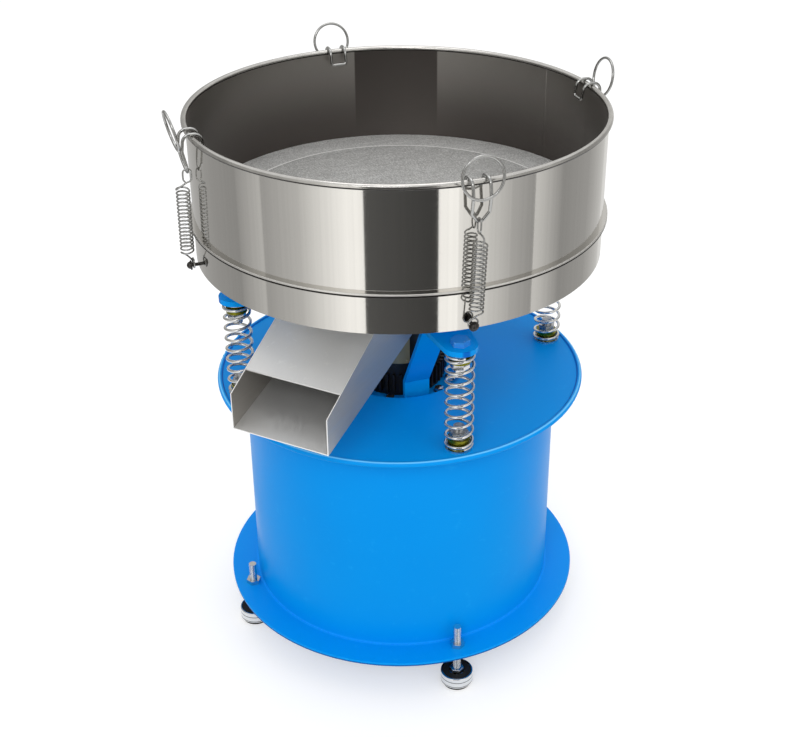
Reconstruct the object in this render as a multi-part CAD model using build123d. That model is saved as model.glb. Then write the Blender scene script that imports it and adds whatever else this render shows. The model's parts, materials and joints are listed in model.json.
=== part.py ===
from build123d import *
import math
import os

# Small round vibrating screen: a drum stand, four springs and a sprung screen body.
# Origin on the floor under the drum's axis, +Z up, the four arms on X and Y.
# Millimetres and degrees.

arm_angles = [0, 90, 180, 270]
chute_angle = 223
seat_gap = 0.05
weld_sink = 0.5
cutter_over = 2

# Levelling feet
foot_circle_r = 260
pad_r = 22
pad_h = 6
cup_r = 25.5
cup_h = 18
cup_round = 1.5
cup_wall = 2.5
cup_recess = 3
stud_r = 6
stud_top_z = 110
foot_nut_flats = 20
foot_nut_h = 7
stud_play = 0.5

# Support springs
spring_circle_r = 254
spring_r = 21.5
spring_wire_r = 2.25
spring_turns = 8
washer_r = 20
washer_t = 3
boss_r = 16
boss_h = 15
bolt_r = 8
bolt_nut_flats = 24
bolt_nut_h = 10
bolt_end = 8
hex_head_h = 8

# Motor
motor_r = 64
motor_base_z = 300
motor_top_z = 526
motor_fin_r = 70
motor_fin_t = 3.5
motor_fins = 40
motor_fin_gap = 6
motor_fins_top_z = 456
motor_flange_r = 86
motor_cap_r = 58
motor_cap_h = 34
motor_end_r = 56
motor_end_h = 36
motor_end_round = 6

# Sprung cradle that carries the motor
lug_top_z = 603
lug_t = 8
lug_w = 50
lug_root_w = 66
lug_root_r = 163
leg_w = 40
leg_t = 8
leg_gap = 2
leg_bend_z = 450
leg_foot_r = motor_fin_r + leg_gap
stand_off_r = 205
stand_off_w = 56
stand_off_t = 6
cradle_plate_lap = 17
cradle_plate_r = leg_foot_r + leg_t + cradle_plate_lap
cradle_plate_t = 10
cradle_plate_z = 408
cradle_plate_play = 0.5

# Stand
flange_margin = 27.5
flange_r = foot_circle_r + flange_margin
flange_lap = 28.5
flange_t = 5
flange_round = 1.5
flange_z = 68
drum_r = 243.5
drum_wall = 3
disc_z = 436
disc_t = 4
disc_margin = 32.5
disc_r = spring_circle_r + disc_margin
disc_hole_play = 6
disc_hole_r = cradle_plate_r + disc_hole_play
lip_r = 4.5

# Screen body
bowl_r = 301.5
sheet_t = 1.5
bowl_base_z = 651.5
joint_z = 706.5
joint_flange_w = 6.5
joint_flange_r = bowl_r + joint_flange_w
joint_flange_t = 2
joint_round = 1.2
screen_ring_t = 1.5
screen_ring_w = 52
mesh_t = 0.8
support_ring_r = 170
support_bar_w = 10
support_bar_t = 3
rim_z = 857.5
rim_bead_r = 4
rim_bead_out = 1.5
rim_bead_circle_r = bowl_r + rim_bead_out

# Discharge chute
chute_w = 153
chute_reach = 349.5
chute_back_reach = -150
chute_lip_top_z = 547
chute_lip_base_z = 491
chute_floor_slope = 15.5
chute_cover_slope = 26.8
chute_cover_reach = 311

# Tension springs of the toggles
toggle_angles = [0, 90, 180, 269]
coil_r = 10.2
coil_wire_r = 1
coil_end_r = 1.2
coil_turns = 17
coil_gap = 0.3
coil_circle_r = joint_flange_r + coil_gap + coil_r
coil_cap_t = 2
coil_neck = 9
coil_tail = 12.5
upper_loop_half_w = 6
upper_loop_half_h = 10
upper_loop_bend = 5.5
lower_loop_r = 7
lower_loop_bend = 6
lower_loop_out = 9.5
lower_loop_circle_r = bowl_r + lower_loop_out

# Hooks and pull rings, placed from the rim bead; some hooks sit a little round from their anchor
hook_shifts = [0, 0, 2.5, 1.2]
hook_wire_r = 2.25
hook_half_w = 12
hook_eye_half_w = 3.5
hook_inner_in = 16
hook_arch_in = 12
hook_arch_out = 12
hook_knee_out = 15
hook_eye_out = 8
hook_inner_drop = 17.5
hook_knee_drop = 16.5
hook_eye_drop = 49.5
hook_eye_taper = 12
hook_bends = [4, 11, 11, 6, 5, 3]
pull_ring_r = 28
pull_ring_wire_r = 2
pull_ring_lift = 2
pull_ring_leans = [-12, -13, -13, 5]

# Anchors under the tension springs
anchor_lift = 9.5
anchor_z = bowl_base_z + anchor_lift
anchor_pin_r = 2.5
anchor_head_play = 2
anchor_washer_r = 7
anchor_washer_t = 1.5
anchor_dome_r = 5.5


def at_angle(shape, angle):
    return shape.rotate(Axis.Z, angle)


def tube(outer, inner, z, height):
    ring = Cylinder(outer, height) - Cylinder(inner, height + 2 * cutter_over)
    return ring.translate((0, 0, z + height / 2))


def hexagon(flats, height, x, z):
    nut = extrude(RegularPolygon(flats / 2, 6, major_radius=False), height)
    return nut.translate((x, 0, z))


def rod(radius, height, x, z):
    return Cylinder(radius, height).translate((x, 0, z + height / 2))


def bore(radius, low, high, x):
    return rod(radius, high - low + 2 * cutter_over, x, low - cutter_over)


def outer_edge(ring, top):
    circles = ring.edges().filter_by(GeomType.CIRCLE).group_by(Axis.Z)[-1 if top else 0]
    return circles.sort_by(SortBy.RADIUS)[-1]


def save(shape, name):
    export_step(shape, "parts/" + name + ".step")


# Levelling feet
def make_foot_pad():
    return rod(pad_r, pad_h, foot_circle_r, 0)


def make_foot():
    cup = Cylinder(cup_r, cup_h).translate((0, 0, cup_h / 2))
    cup = fillet(cup.edges().group_by(Axis.Z)[-1], cup_round)
    recess = Cylinder(cup_r - cup_wall, cup_recess).translate((0, 0, cup_h - cup_recess / 2))
    cup = (cup - recess).translate((foot_circle_r, 0, pad_h))
    floor_z = pad_h + cup_h - cup_recess
    return cup + rod(stud_r, stud_top_z - floor_z, foot_circle_r, floor_z)


def make_foot_nuts():
    lower = hexagon(foot_nut_flats, foot_nut_h, foot_circle_r, pad_h + cup_h - cup_recess)
    upper = hexagon(foot_nut_flats, foot_nut_h, foot_circle_r, flange_z + flange_t)
    hole = bore(stud_r + seat_gap, 0, stud_top_z, foot_circle_r)
    return [lower - hole, upper - hole]


# Stand
def make_base_flange():
    ring = tube(flange_r, drum_r - flange_lap, flange_z, flange_t)
    ring = fillet(outer_edge(ring, top=True), flange_round)
    hole = bore(stud_r + stud_play, flange_z, flange_z + flange_t, foot_circle_r)
    for angle in arm_angles:
        ring -= at_angle(hole, angle)
    return ring


def make_drum():
    base_z = flange_z + flange_t
    return tube(drum_r, drum_r - drum_wall, base_z, disc_z - disc_t - base_z)


def make_top_disc():
    plate_edge = disc_r - lip_r
    bead_z = disc_z - disc_t / 2
    plate = tube(plate_edge, disc_hole_r, disc_z - disc_t, disc_t)
    bead = Torus(plate_edge, lip_r).translate((0, 0, bead_z))
    disc = plate + bead
    hole = bore(bolt_r + seat_gap, disc_z - disc_t, disc_z, spring_circle_r)
    for angle in arm_angles:
        disc -= at_angle(hole, angle)
    return disc


# Support springs
def make_spring():
    low = disc_z + washer_t + spring_wire_r
    high = lug_top_z - lug_t - washer_t - spring_wire_r
    radius = spring_r - spring_wire_r
    path = Helix((high - low) / spring_turns, high - low, radius)
    section = Plane(origin=(radius, 0, 0), z_dir=path % 0) * Circle(spring_wire_r)
    coil = sweep(section, path).translate((0, 0, low))
    ends = Torus(radius, spring_wire_r).translate((0, 0, low))
    ends += Torus(radius, spring_wire_r).translate((0, 0, high))
    return (coil + ends).translate((spring_circle_r, 0, 0))


def make_lower_seat():
    seat = rod(washer_r, washer_t, spring_circle_r, disc_z)
    seat += rod(boss_r, washer_t + boss_h, spring_circle_r, disc_z)
    return seat - bore(bolt_r + seat_gap, disc_z, disc_z + washer_t + boss_h, spring_circle_r)


def make_upper_seat():
    under = lug_top_z - lug_t
    seat = rod(washer_r, washer_t, spring_circle_r, under - washer_t)
    seat += rod(boss_r, washer_t + boss_h, spring_circle_r, under - washer_t - boss_h)
    return seat - bore(bolt_r + seat_gap, under - washer_t - boss_h, under, spring_circle_r)


def make_lower_stud():
    nut_z = disc_z + washer_t + boss_h
    under = disc_z - disc_t
    stud = rod(bolt_r, nut_z + bolt_nut_h + bolt_end - under, spring_circle_r, under)
    return stud + hexagon(bolt_nut_flats, bolt_nut_h, spring_circle_r, nut_z)


def make_upper_bolt():
    nut_z = lug_top_z - lug_t - washer_t - boss_h - bolt_nut_h
    bolt = rod(bolt_r, lug_top_z - nut_z + bolt_end, spring_circle_r, nut_z - bolt_end)
    bolt += hexagon(bolt_nut_flats, hex_head_h, spring_circle_r, lug_top_z)
    return bolt + hexagon(bolt_nut_flats, bolt_nut_h, spring_circle_r, nut_z)


# Cradle
def make_cradle_arm():
    end_r = lug_w / 2
    lug = Polygon(
        (lug_root_r, lug_root_w / 2), (lug_root_r, -lug_root_w / 2),
        (spring_circle_r, -end_r), (spring_circle_r, end_r), align=None,
    )
    lug += Pos(spring_circle_r, 0) * Circle(end_r)
    lug = extrude(lug, lug_t).translate((0, 0, lug_top_z - lug_t))
    plate_top = cradle_plate_z + cradle_plate_t
    leg = Polygon(
        (lug_root_r, lug_top_z), (lug_root_r + leg_t, lug_top_z), (lug_root_r + leg_t, lug_top_z - lug_t),
        (leg_foot_r + leg_t, leg_bend_z), (leg_foot_r + leg_t, plate_top), (leg_foot_r, plate_top),
        (leg_foot_r, leg_bend_z), (lug_root_r, lug_top_z - lug_t), align=None,
    )
    leg = extrude(Plane.XZ * leg, leg_w / 2, both=True)
    stand_off = Box(stand_off_t, stand_off_w, bowl_base_z - lug_top_z)
    stand_off = stand_off.translate((stand_off_r, 0, (bowl_base_z + lug_top_z) / 2))
    arm = lug + leg + stand_off
    return arm - bore(bolt_r + seat_gap, lug_top_z - lug_t, lug_top_z, spring_circle_r)


def make_cradle_plate():
    return tube(cradle_plate_r, motor_r + cradle_plate_play, cradle_plate_z, cradle_plate_t)


# Motor
def make_fins(base, top):
    outline = Circle(motor_r)
    reach = motor_fin_r - motor_r
    for spot in PolarLocations(motor_r + reach / 2 - weld_sink, motor_fins):
        outline += spot * Rectangle(reach + 2 * weld_sink, motor_fin_t)
    return extrude(outline, top - base).translate((0, 0, base))


def make_motor_body():
    flange_base = cradle_plate_z - cradle_plate_t
    body = rod(motor_r, motor_top_z - motor_base_z, 0, motor_base_z)
    body += rod(motor_flange_r, cradle_plate_t, 0, flange_base)
    body += make_fins(cradle_plate_z + cradle_plate_t + motor_fin_gap, motor_fins_top_z)
    return body + make_fins(motor_base_z + motor_fin_gap, flange_base - motor_fin_gap)


def make_motor_cap():
    cap = rod(motor_cap_r, motor_cap_h, 0, motor_top_z)
    return fillet(cap.edges().group_by(Axis.Z)[-1], motor_end_round)


def make_motor_end():
    end = rod(motor_end_r, motor_end_h, 0, motor_base_z - motor_end_h)
    return fillet(end.edges().group_by(Axis.Z)[0], motor_end_round)


# Screen body
def make_lower_frame():
    wall = tube(bowl_r, bowl_r - sheet_t, bowl_base_z, joint_z + joint_flange_t - bowl_base_z)
    flange = tube(joint_flange_r, bowl_r - sheet_t, joint_z, joint_flange_t)
    return wall + fillet(outer_edge(flange, top=False), joint_round)


def make_screen_ring():
    return tube(joint_flange_r, bowl_r - screen_ring_w, joint_z + joint_flange_t, screen_ring_t)


def make_screen_mesh():
    return rod(bowl_r - sheet_t - seat_gap, mesh_t, 0, joint_z + joint_flange_t + screen_ring_t)


def make_screen_support():
    base = joint_z + joint_flange_t + screen_ring_t - support_bar_t
    support = tube(support_ring_r, support_ring_r - support_bar_w, base, support_bar_t)
    length = bowl_r - screen_ring_w - 2 * seat_gap - support_ring_r + weld_sink
    bar = Box(length, support_bar_w, support_bar_t)
    bar = bar.translate((support_ring_r - weld_sink + length / 2, 0, base + support_bar_t / 2))
    for angle in arm_angles:
        support += at_angle(bar, angle)
    return support


def make_upper_frame():
    base = joint_z + joint_flange_t + screen_ring_t
    wall = tube(bowl_r, bowl_r - sheet_t, base, rim_z - base)
    flange = tube(joint_flange_r, bowl_r - sheet_t, base, joint_flange_t)
    wall += fillet(outer_edge(flange, top=True), joint_round)
    return wall + Torus(rim_bead_circle_r, rim_bead_r).translate((0, 0, rim_z))


def chute_floor_z(reach):
    return chute_lip_base_z + (chute_reach - reach) * math.tan(math.radians(chute_floor_slope))


def chute_top_z(reach):
    return chute_lip_top_z + (chute_reach - reach) * math.tan(math.radians(chute_cover_slope))


def chute_neck_reach():
    rise = (bowl_base_z - chute_lip_top_z) / math.tan(math.radians(chute_cover_slope))
    return chute_reach - rise


def make_bottom_pan():
    pan = rod(bowl_r - sheet_t, sheet_t, 0, bowl_base_z)
    length = chute_neck_reach() - chute_back_reach
    slot = Box(length - 2 * sheet_t, chute_w - 2 * sheet_t, 2 * sheet_t + 2 * cutter_over)
    slot = slot.translate((chute_back_reach + length / 2, 0, bowl_base_z))
    return pan - at_angle(slot, chute_angle)


def make_chute_body():
    back = chute_back_reach
    neck = chute_neck_reach()
    side = Polygon(
        (back, bowl_base_z), (neck, bowl_base_z), (chute_reach, chute_lip_top_z),
        (chute_reach, chute_lip_base_z), (back, chute_floor_z(back)), align=None,
    )
    outer = extrude(Plane.XZ * side, chute_w / 2, both=True)
    lift = sheet_t / math.cos(math.radians(chute_floor_slope))
    open_end = chute_reach + cutter_over
    open_top = bowl_base_z + cutter_over
    hollow = Polygon(
        (back + sheet_t, open_top), (open_end, open_top), (open_end, chute_floor_z(open_end) + lift),
        (back + sheet_t, chute_floor_z(back + sheet_t) + lift), align=None,
    )
    hollow = extrude(Plane.XZ * hollow, chute_w / 2 - sheet_t, both=True)
    return at_angle(outer - hollow, chute_angle)


def make_chute_cover():
    neck = chute_neck_reach()
    drop = sheet_t / math.cos(math.radians(chute_cover_slope))
    plate = Polygon(
        (neck, bowl_base_z), (chute_cover_reach, chute_top_z(chute_cover_reach)),
        (chute_cover_reach, chute_top_z(chute_cover_reach) - drop), (neck, bowl_base_z - drop),
        align=None,
    )
    plate = extrude(Plane.XZ * plate, chute_w / 2 - sheet_t, both=True)
    return at_angle(plate, chute_angle)


# Toggles
def closed_wire(points, radii, radius):
    path = FilletPolyline(*points, radius=radii, close=True)
    section = Plane(origin=path @ 0, z_dir=path % 0) * Circle(radius)
    return sweep(section, path)


def make_hook():
    over_rim_z = rim_z + rim_bead_r + hook_wire_r + seat_gap
    knee_r = rim_bead_circle_r + hook_knee_out
    eye_r = rim_bead_circle_r + hook_eye_out
    eye_z = rim_z - hook_eye_drop
    taper_part = hook_eye_taper / (hook_eye_drop - hook_knee_drop)
    taper_r = eye_r + (knee_r - eye_r) * taper_part
    side = [
        (rim_bead_circle_r - hook_inner_in, hook_half_w, rim_z - hook_inner_drop),
        (rim_bead_circle_r - hook_arch_in, hook_half_w, over_rim_z),
        (rim_bead_circle_r + hook_arch_out, hook_half_w, over_rim_z),
        (knee_r, hook_half_w, rim_z - hook_knee_drop),
        (taper_r, hook_half_w, eye_z + hook_eye_taper),
        (eye_r, hook_eye_half_w, eye_z),
    ]
    other = [(x, -y, z) for x, y, z in reversed(side)]
    return closed_wire(side + other, hook_bends + hook_bends[::-1], hook_wire_r)


def make_pull_ring(lean):
    held_r = rim_bead_circle_r + hook_knee_out + hook_wire_r + pull_ring_wire_r - weld_sink
    held_z = rim_z - hook_knee_drop + pull_ring_lift
    middle = math.sqrt(pull_ring_r ** 2 - hook_half_w ** 2)
    ring = Torus(pull_ring_r, pull_ring_wire_r).rotate(Axis.Y, 90).translate((0, 0, middle))
    return ring.rotate(Axis.Y, -lean).translate((held_r, 0, held_z))


def lower_loop_z():
    return anchor_z - anchor_pin_r - seat_gap - coil_wire_r + lower_loop_r


def pin_to_loop_top():
    return rim_z - hook_eye_drop + hook_wire_r + seat_gap + coil_wire_r - anchor_z


def spring_tilt(shift):
    aside = (rim_bead_circle_r + hook_eye_out) * math.radians(shift)
    return math.atan2(aside, pin_to_loop_top())


def wire(start, end):
    path = Line(start, end)
    return sweep(Plane(origin=start, z_dir=path % 0) * Circle(coil_end_r), path)


def make_coil(base, top):
    mean = coil_r - coil_wire_r
    inner = mean - coil_wire_r
    pitch = (top - base) / coil_turns
    outline = [(0, base), (mean, base)]
    for turn in range(coil_turns):
        outline += [(coil_r, base + (turn + 0.5) * pitch), (mean, base + (turn + 1) * pitch)]
    outline += [(0, top), (0, top - coil_cap_t), (inner, top - coil_cap_t)]
    outline += [(inner, base + coil_cap_t), (0, base + coil_cap_t)]
    profile = Plane.XZ * make_face(Polyline(*outline, close=True))
    return revolve(profile, Axis.Z).translate((coil_circle_r, 0, 0))


def make_tension_spring(tilt):
    loop_r = rim_bead_circle_r + hook_eye_out
    loop_z = anchor_z + pin_to_loop_top() / math.cos(tilt) - upper_loop_half_h
    neck_z = loop_z - upper_loop_half_h
    tail_z = lower_loop_z() + lower_loop_r
    base = tail_z + coil_tail
    top = neck_z - coil_neck
    corners = [(-1, -1), (-1, 1), (1, 1), (1, -1)]
    corners = [(loop_r + x * upper_loop_half_w, 0, loop_z + z * upper_loop_half_h) for x, z in corners]
    upper = closed_wire(corners, upper_loop_bend, coil_wire_r)
    corners = [(-1, -1), (-1, 1), (1, 1), (1, -1)]
    corners = [(lower_loop_circle_r, y * lower_loop_r, lower_loop_z() + z * lower_loop_r) for y, z in corners]
    lower = closed_wire(corners, lower_loop_bend, coil_wire_r)
    spring = make_coil(base, top) + upper + lower
    spring += wire((coil_circle_r, 0, top - coil_cap_t / 2), (loop_r, 0, neck_z + weld_sink))
    spring += wire((coil_circle_r, 0, base + coil_cap_t / 2), (lower_loop_circle_r, 0, tail_z - weld_sink))
    pin = Axis((lower_loop_circle_r, 0, anchor_z), (-1, 0, 0))
    return spring.rotate(pin, math.degrees(tilt))


def make_anchor():
    washer_x = lower_loop_circle_r + coil_wire_r + anchor_head_play
    dome_x = washer_x + anchor_washer_t
    pin = rod(anchor_pin_r, dome_x - bowl_r, 0, bowl_r)
    washer = rod(anchor_washer_r, anchor_washer_t, 0, washer_x)
    dome = Sphere(anchor_dome_r) & rod(anchor_dome_r, anchor_dome_r, 0, 0)
    anchor = pin + washer + dome.translate((0, 0, dome_x))
    return anchor.rotate(Axis.Y, 90).translate((0, 0, anchor_z))


os.makedirs("parts", exist_ok=True)

foot_pad = make_foot_pad()
foot = make_foot()
spring = make_spring()
hook = make_hook()
foot_nuts = []
lower_seats = []
upper_seats = []
lower_studs = []
upper_bolts = []
anchors = []
for number, angle in enumerate(arm_angles, start=1):
    save(at_angle(foot_pad, angle), f"foot_pad_{number}")
    save(at_angle(foot, angle), f"levelling_foot_{number}")
    save(at_angle(spring, angle), f"support_spring_{number}")
    foot_nuts += [at_angle(nut, angle) for nut in make_foot_nuts()]
    lower_seats.append(at_angle(make_lower_seat(), angle))
    upper_seats.append(at_angle(make_upper_seat(), angle))
    lower_studs.append(at_angle(make_lower_stud(), angle))
    upper_bolts.append(at_angle(make_upper_bolt(), angle))

for number, (angle, shift, lean) in enumerate(zip(toggle_angles, hook_shifts, pull_ring_leans), start=1):
    save(at_angle(hook + make_pull_ring(lean), angle + shift), f"toggle_hook_{number}")
    save(at_angle(make_tension_spring(spring_tilt(shift)), angle), f"toggle_spring_{number}")
    anchors.append(at_angle(make_anchor(), angle))

save(Compound(foot_nuts), "foot_nuts")
save(Compound(lower_seats), "lower_spring_seats")
save(Compound(upper_seats), "upper_spring_seats")
save(Compound(lower_studs), "lower_seat_studs")
save(Compound(upper_bolts), "upper_seat_bolts")
save(Compound(anchors), "toggle_anchors")

save(make_base_flange(), "base_flange")
save(make_drum(), "base_drum")
save(make_top_disc(), "top_disc")
save(make_cradle_plate(), "motor_cradle")
save(Compound([at_angle(make_cradle_arm(), angle) for angle in arm_angles]), "cradle_arms")
save(make_motor_body(), "motor_body")
save(make_motor_cap(), "motor_cap")
save(make_motor_end(), "motor_end_cover")
save(make_lower_frame(), "lower_frame")
save(make_bottom_pan(), "bottom_pan")
save(make_screen_ring(), "screen_ring")
save(make_screen_mesh(), "screen_mesh")
save(make_screen_support(), "screen_support")
save(make_upper_frame(), "upper_frame")
save(make_chute_body(), "chute_body")
save(make_chute_cover(), "chute_cover")
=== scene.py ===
import bpy
import json
import math
from mathutils import Matrix, Vector


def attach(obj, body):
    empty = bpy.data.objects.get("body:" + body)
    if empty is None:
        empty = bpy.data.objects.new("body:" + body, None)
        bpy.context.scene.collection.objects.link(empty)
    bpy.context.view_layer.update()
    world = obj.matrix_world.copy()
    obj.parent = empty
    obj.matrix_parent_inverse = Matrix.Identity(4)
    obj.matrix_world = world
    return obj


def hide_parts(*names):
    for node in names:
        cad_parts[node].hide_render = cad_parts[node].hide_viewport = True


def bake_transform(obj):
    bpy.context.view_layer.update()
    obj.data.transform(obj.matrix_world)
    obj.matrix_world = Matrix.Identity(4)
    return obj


# Round vibrating screen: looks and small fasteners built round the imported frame.
# Metres, Z up, the four arms on X and Y, the chute between -X and -Y.

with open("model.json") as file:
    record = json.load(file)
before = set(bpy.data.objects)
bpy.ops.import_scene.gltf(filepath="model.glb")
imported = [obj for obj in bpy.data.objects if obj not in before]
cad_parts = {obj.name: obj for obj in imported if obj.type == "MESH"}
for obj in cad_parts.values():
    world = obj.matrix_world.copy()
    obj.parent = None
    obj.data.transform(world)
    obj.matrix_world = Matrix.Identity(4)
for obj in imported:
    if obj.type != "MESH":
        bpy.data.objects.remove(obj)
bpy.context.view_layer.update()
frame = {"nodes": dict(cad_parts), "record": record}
nodes = frame["nodes"]
scene = bpy.context.scene
print("frame loaded")

armAngles = [0, 90, 180, 270]
meshFinish = dict(mergeDistance=1e-6, smoothAngle=35, roundSmoothAngle=60)
nutEdge = dict(segments=2, angle=50)


# helpers for meshes
def deselectAll():
    bpy.ops.object.select_all(action="DESELECT")


def finishMesh(obj, smoothAngle=meshFinish["smoothAngle"]):
    # doubles merged, faces outwards, shading by angle
    deselectAll()
    obj.select_set(True)
    bpy.context.view_layer.objects.active = obj
    bpy.ops.object.transform_apply(location=True, rotation=True, scale=True)
    bpy.ops.object.mode_set(mode="EDIT")
    bpy.ops.mesh.select_all(action="SELECT")
    bpy.ops.mesh.remove_doubles(threshold=meshFinish["mergeDistance"])
    bpy.ops.mesh.normals_make_consistent(inside=False)
    bpy.ops.object.mode_set(mode="OBJECT")
    bpy.ops.object.shade_smooth_by_angle(angle=math.radians(smoothAngle))


def copyTurned(obj, name, degrees):
    # own mesh for each copy, turned about the machine's axis
    copy = obj.copy()
    copy.data = obj.data.copy()
    copy.name = name
    scene.collection.objects.link(copy)
    copy.data.transform(Matrix.Rotation(math.radians(degrees), 4, "Z"))
    return copy


def joinPieces(pieces, name):
    deselectAll()
    for piece in pieces:
        piece.select_set(True)
    bpy.context.view_layer.objects.active = pieces[0]
    bpy.ops.object.join()
    whole = bpy.context.object
    whole.name = name
    return whole


def hexNut(name, flats, height, place, chamfer):
    # hexagon with its corners turned off at the top and bottom
    deselectAll()
    bpy.ops.mesh.primitive_cylinder_add(vertices=6, radius=flats / 2 / math.cos(math.pi / 6), depth=height,
                                        location=place, rotation=(0, 0, math.pi / 6))
    nut = bpy.context.object
    nut.name = name
    bevel = nut.modifiers.new("edges", "BEVEL")
    bevel.width = chamfer
    bevel.segments = nutEdge["segments"]
    bevel.limit_method = "ANGLE"
    bevel.angle_limit = math.radians(nutEdge["angle"])
    bpy.ops.object.modifier_apply(modifier="edges")
    finishMesh(nut)
    return nut


def roundBar(vertices, radius, depth, place, edge, segments):
    # short bar or washer with its edges broken
    deselectAll()
    bpy.ops.mesh.primitive_cylinder_add(vertices=vertices, radius=radius, depth=depth, location=place)
    bpy.ops.object.mode_set(mode="EDIT")
    bpy.ops.mesh.select_all(action="SELECT")
    bpy.ops.mesh.bevel(offset=edge, segments=segments)
    bpy.ops.object.mode_set(mode="OBJECT")
    return bpy.context.object


def wireAlong(name, points, thickness, sides=2):
    # round wire bent through a row of points
    curve = bpy.data.curves.new(name, "CURVE")
    curve.dimensions = "3D"
    curve.bevel_depth = thickness / 2
    curve.bevel_resolution = sides
    curve.use_fill_caps = True
    spline = curve.splines.new("POLY")
    spline.points.add(len(points) - 1)
    for point, place in zip(spline.points, points):
        point.co = (*place, 1)
    wire = bpy.data.objects.new(name, curve)
    scene.collection.objects.link(wire)
    deselectAll()
    wire.select_set(True)
    bpy.context.view_layer.objects.active = wire
    bpy.ops.object.convert(target="MESH")
    wire = bpy.context.object
    finishMesh(wire, meshFinish["roundSmoothAngle"])
    return wire


def coilPoints(s, heightAt):
    # points up a helix that stands on the +X arm, with the height of each turn from heightAt
    points = []
    count = int(s["turns"] * s["stepsPerTurn"])
    for i in range(count + 1):
        turn = s["turns"] * i / count
        angle = 2 * math.pi * turn
        points.append((s["circle"] + s["radius"] * math.cos(angle), s["radius"] * math.sin(angle), heightAt(turn)))
    return points


# helpers for nodes
def startGroup(name, inputs, outputs):
    group = bpy.data.node_groups.new(name, "ShaderNodeTree")
    for label, kind, value in inputs:
        socket = group.interface.new_socket(label, in_out="INPUT", socket_type=kind)
        if value is not None:
            socket.default_value = value
    for label, kind in outputs:
        group.interface.new_socket(label, in_out="OUTPUT", socket_type=kind)
    return group, group.nodes.new("NodeGroupInput"), group.nodes.new("NodeGroupOutput")


def mathNode(tree, kind, first, second=None):
    node = tree.nodes.new("ShaderNodeMath")
    node.operation = kind
    for socket, value in zip(node.inputs, (first, second)):
        if value is None:
            continue
        if isinstance(value, (int, float)):
            socket.default_value = value
        else:
            tree.links.new(value, socket)
    return node.outputs[0]


def rangeNode(tree, value, low, high, outLow=0.0, outHigh=1.0):
    node = tree.nodes.new("ShaderNodeMapRange")
    node.interpolation_type = "SMOOTHSTEP"
    tree.links.new(value, node.inputs["Value"])
    node.inputs["From Min"].default_value = low
    node.inputs["From Max"].default_value = high
    node.inputs["To Min"].default_value = outLow
    node.inputs["To Max"].default_value = outHigh
    return node.outputs["Result"]


def bandMask(tree, value, low, high, soft):
    rise = rangeNode(tree, value, low - soft, low + soft)
    fall = rangeNode(tree, value, high - soft, high + soft, 1.0, 0.0)
    return mathNode(tree, "MULTIPLY", rise, fall)


def splitPlace(tree, vector):
    split = tree.nodes.new("ShaderNodeSeparateXYZ")
    tree.links.new(vector, split.inputs[0])
    return split.outputs


# node groups shared by the materials
drawnGrain = dict(detail=3.0, cloudScale=5.0, cloudDetail=2.0)
scuffMarks = dict(detail=6.0, roughness=0.7, span=(0.58, 0.72))
wireWeave = dict(crossing=0.35, wireSpan=(0.25, 0.75))


def makeGrainGroup():
    # fine lines drawn out along one axis, as a brush or a rolling mill leaves them
    group, entry, exit = startGroup(
        "DrawnGrain",
        [("Vector", "NodeSocketVector", None), ("Across", "NodeSocketVector", (1.0, 1.0, 60.0)),
         ("Scale", "NodeSocketFloat", 12.0)],
        [("Grain", "NodeSocketFloat"), ("Cloud", "NodeSocketFloat")])
    stretch = group.nodes.new("ShaderNodeVectorMath")
    stretch.operation = "MULTIPLY"
    group.links.new(entry.outputs["Vector"], stretch.inputs[0])
    group.links.new(entry.outputs["Across"], stretch.inputs[1])
    fine = group.nodes.new("ShaderNodeTexNoise")
    fine.inputs["Detail"].default_value = drawnGrain["detail"]
    group.links.new(stretch.outputs[0], fine.inputs["Vector"])
    group.links.new(entry.outputs["Scale"], fine.inputs["Scale"])
    cloud = group.nodes.new("ShaderNodeTexNoise")
    cloud.inputs["Scale"].default_value = drawnGrain["cloudScale"]
    cloud.inputs["Detail"].default_value = drawnGrain["cloudDetail"]
    group.links.new(entry.outputs["Vector"], cloud.inputs["Vector"])
    group.links.new(fine.outputs["Fac"], exit.inputs["Grain"])
    group.links.new(cloud.outputs["Fac"], exit.inputs["Cloud"])
    return group


def makeScuffGroup():
    # sparse short marks
    group, entry, exit = startGroup(
        "Scuffs",
        [("Vector", "NodeSocketVector", None), ("Scale", "NodeSocketFloat", 40.0),
         ("Amount", "NodeSocketFloat", 0.5)],
        [("Mask", "NodeSocketFloat")])
    noise = group.nodes.new("ShaderNodeTexNoise")
    noise.inputs["Detail"].default_value = scuffMarks["detail"]
    noise.inputs["Roughness"].default_value = scuffMarks["roughness"]
    group.links.new(entry.outputs["Vector"], noise.inputs["Vector"])
    group.links.new(entry.outputs["Scale"], noise.inputs["Scale"])
    mask = rangeNode(group, noise.outputs["Fac"], *scuffMarks["span"])
    group.links.new(mathNode(group, "MULTIPLY", mask, entry.outputs["Amount"]), exit.inputs["Mask"])
    return group


def makeRadiusGroup():
    # distance from the machine's axis, height and turn round it, for rings, walls and seams
    group, entry, exit = startGroup(
        "FromAxis", [("Vector", "NodeSocketVector", None)],
        [("Radius", "NodeSocketFloat"), ("Height", "NodeSocketFloat"), ("Degrees", "NodeSocketFloat")])
    split = splitPlace(group, entry.outputs["Vector"])
    squareX = mathNode(group, "POWER", split["X"], 2.0)
    squareY = mathNode(group, "POWER", split["Y"], 2.0)
    group.links.new(mathNode(group, "SQRT", mathNode(group, "ADD", squareX, squareY)), exit.inputs["Radius"])
    group.links.new(split["Z"], exit.inputs["Height"])
    turn = mathNode(group, "ARCTAN2", split["Y"], split["X"])
    group.links.new(mathNode(group, "DEGREES", turn), exit.inputs["Degrees"])
    return group


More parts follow.
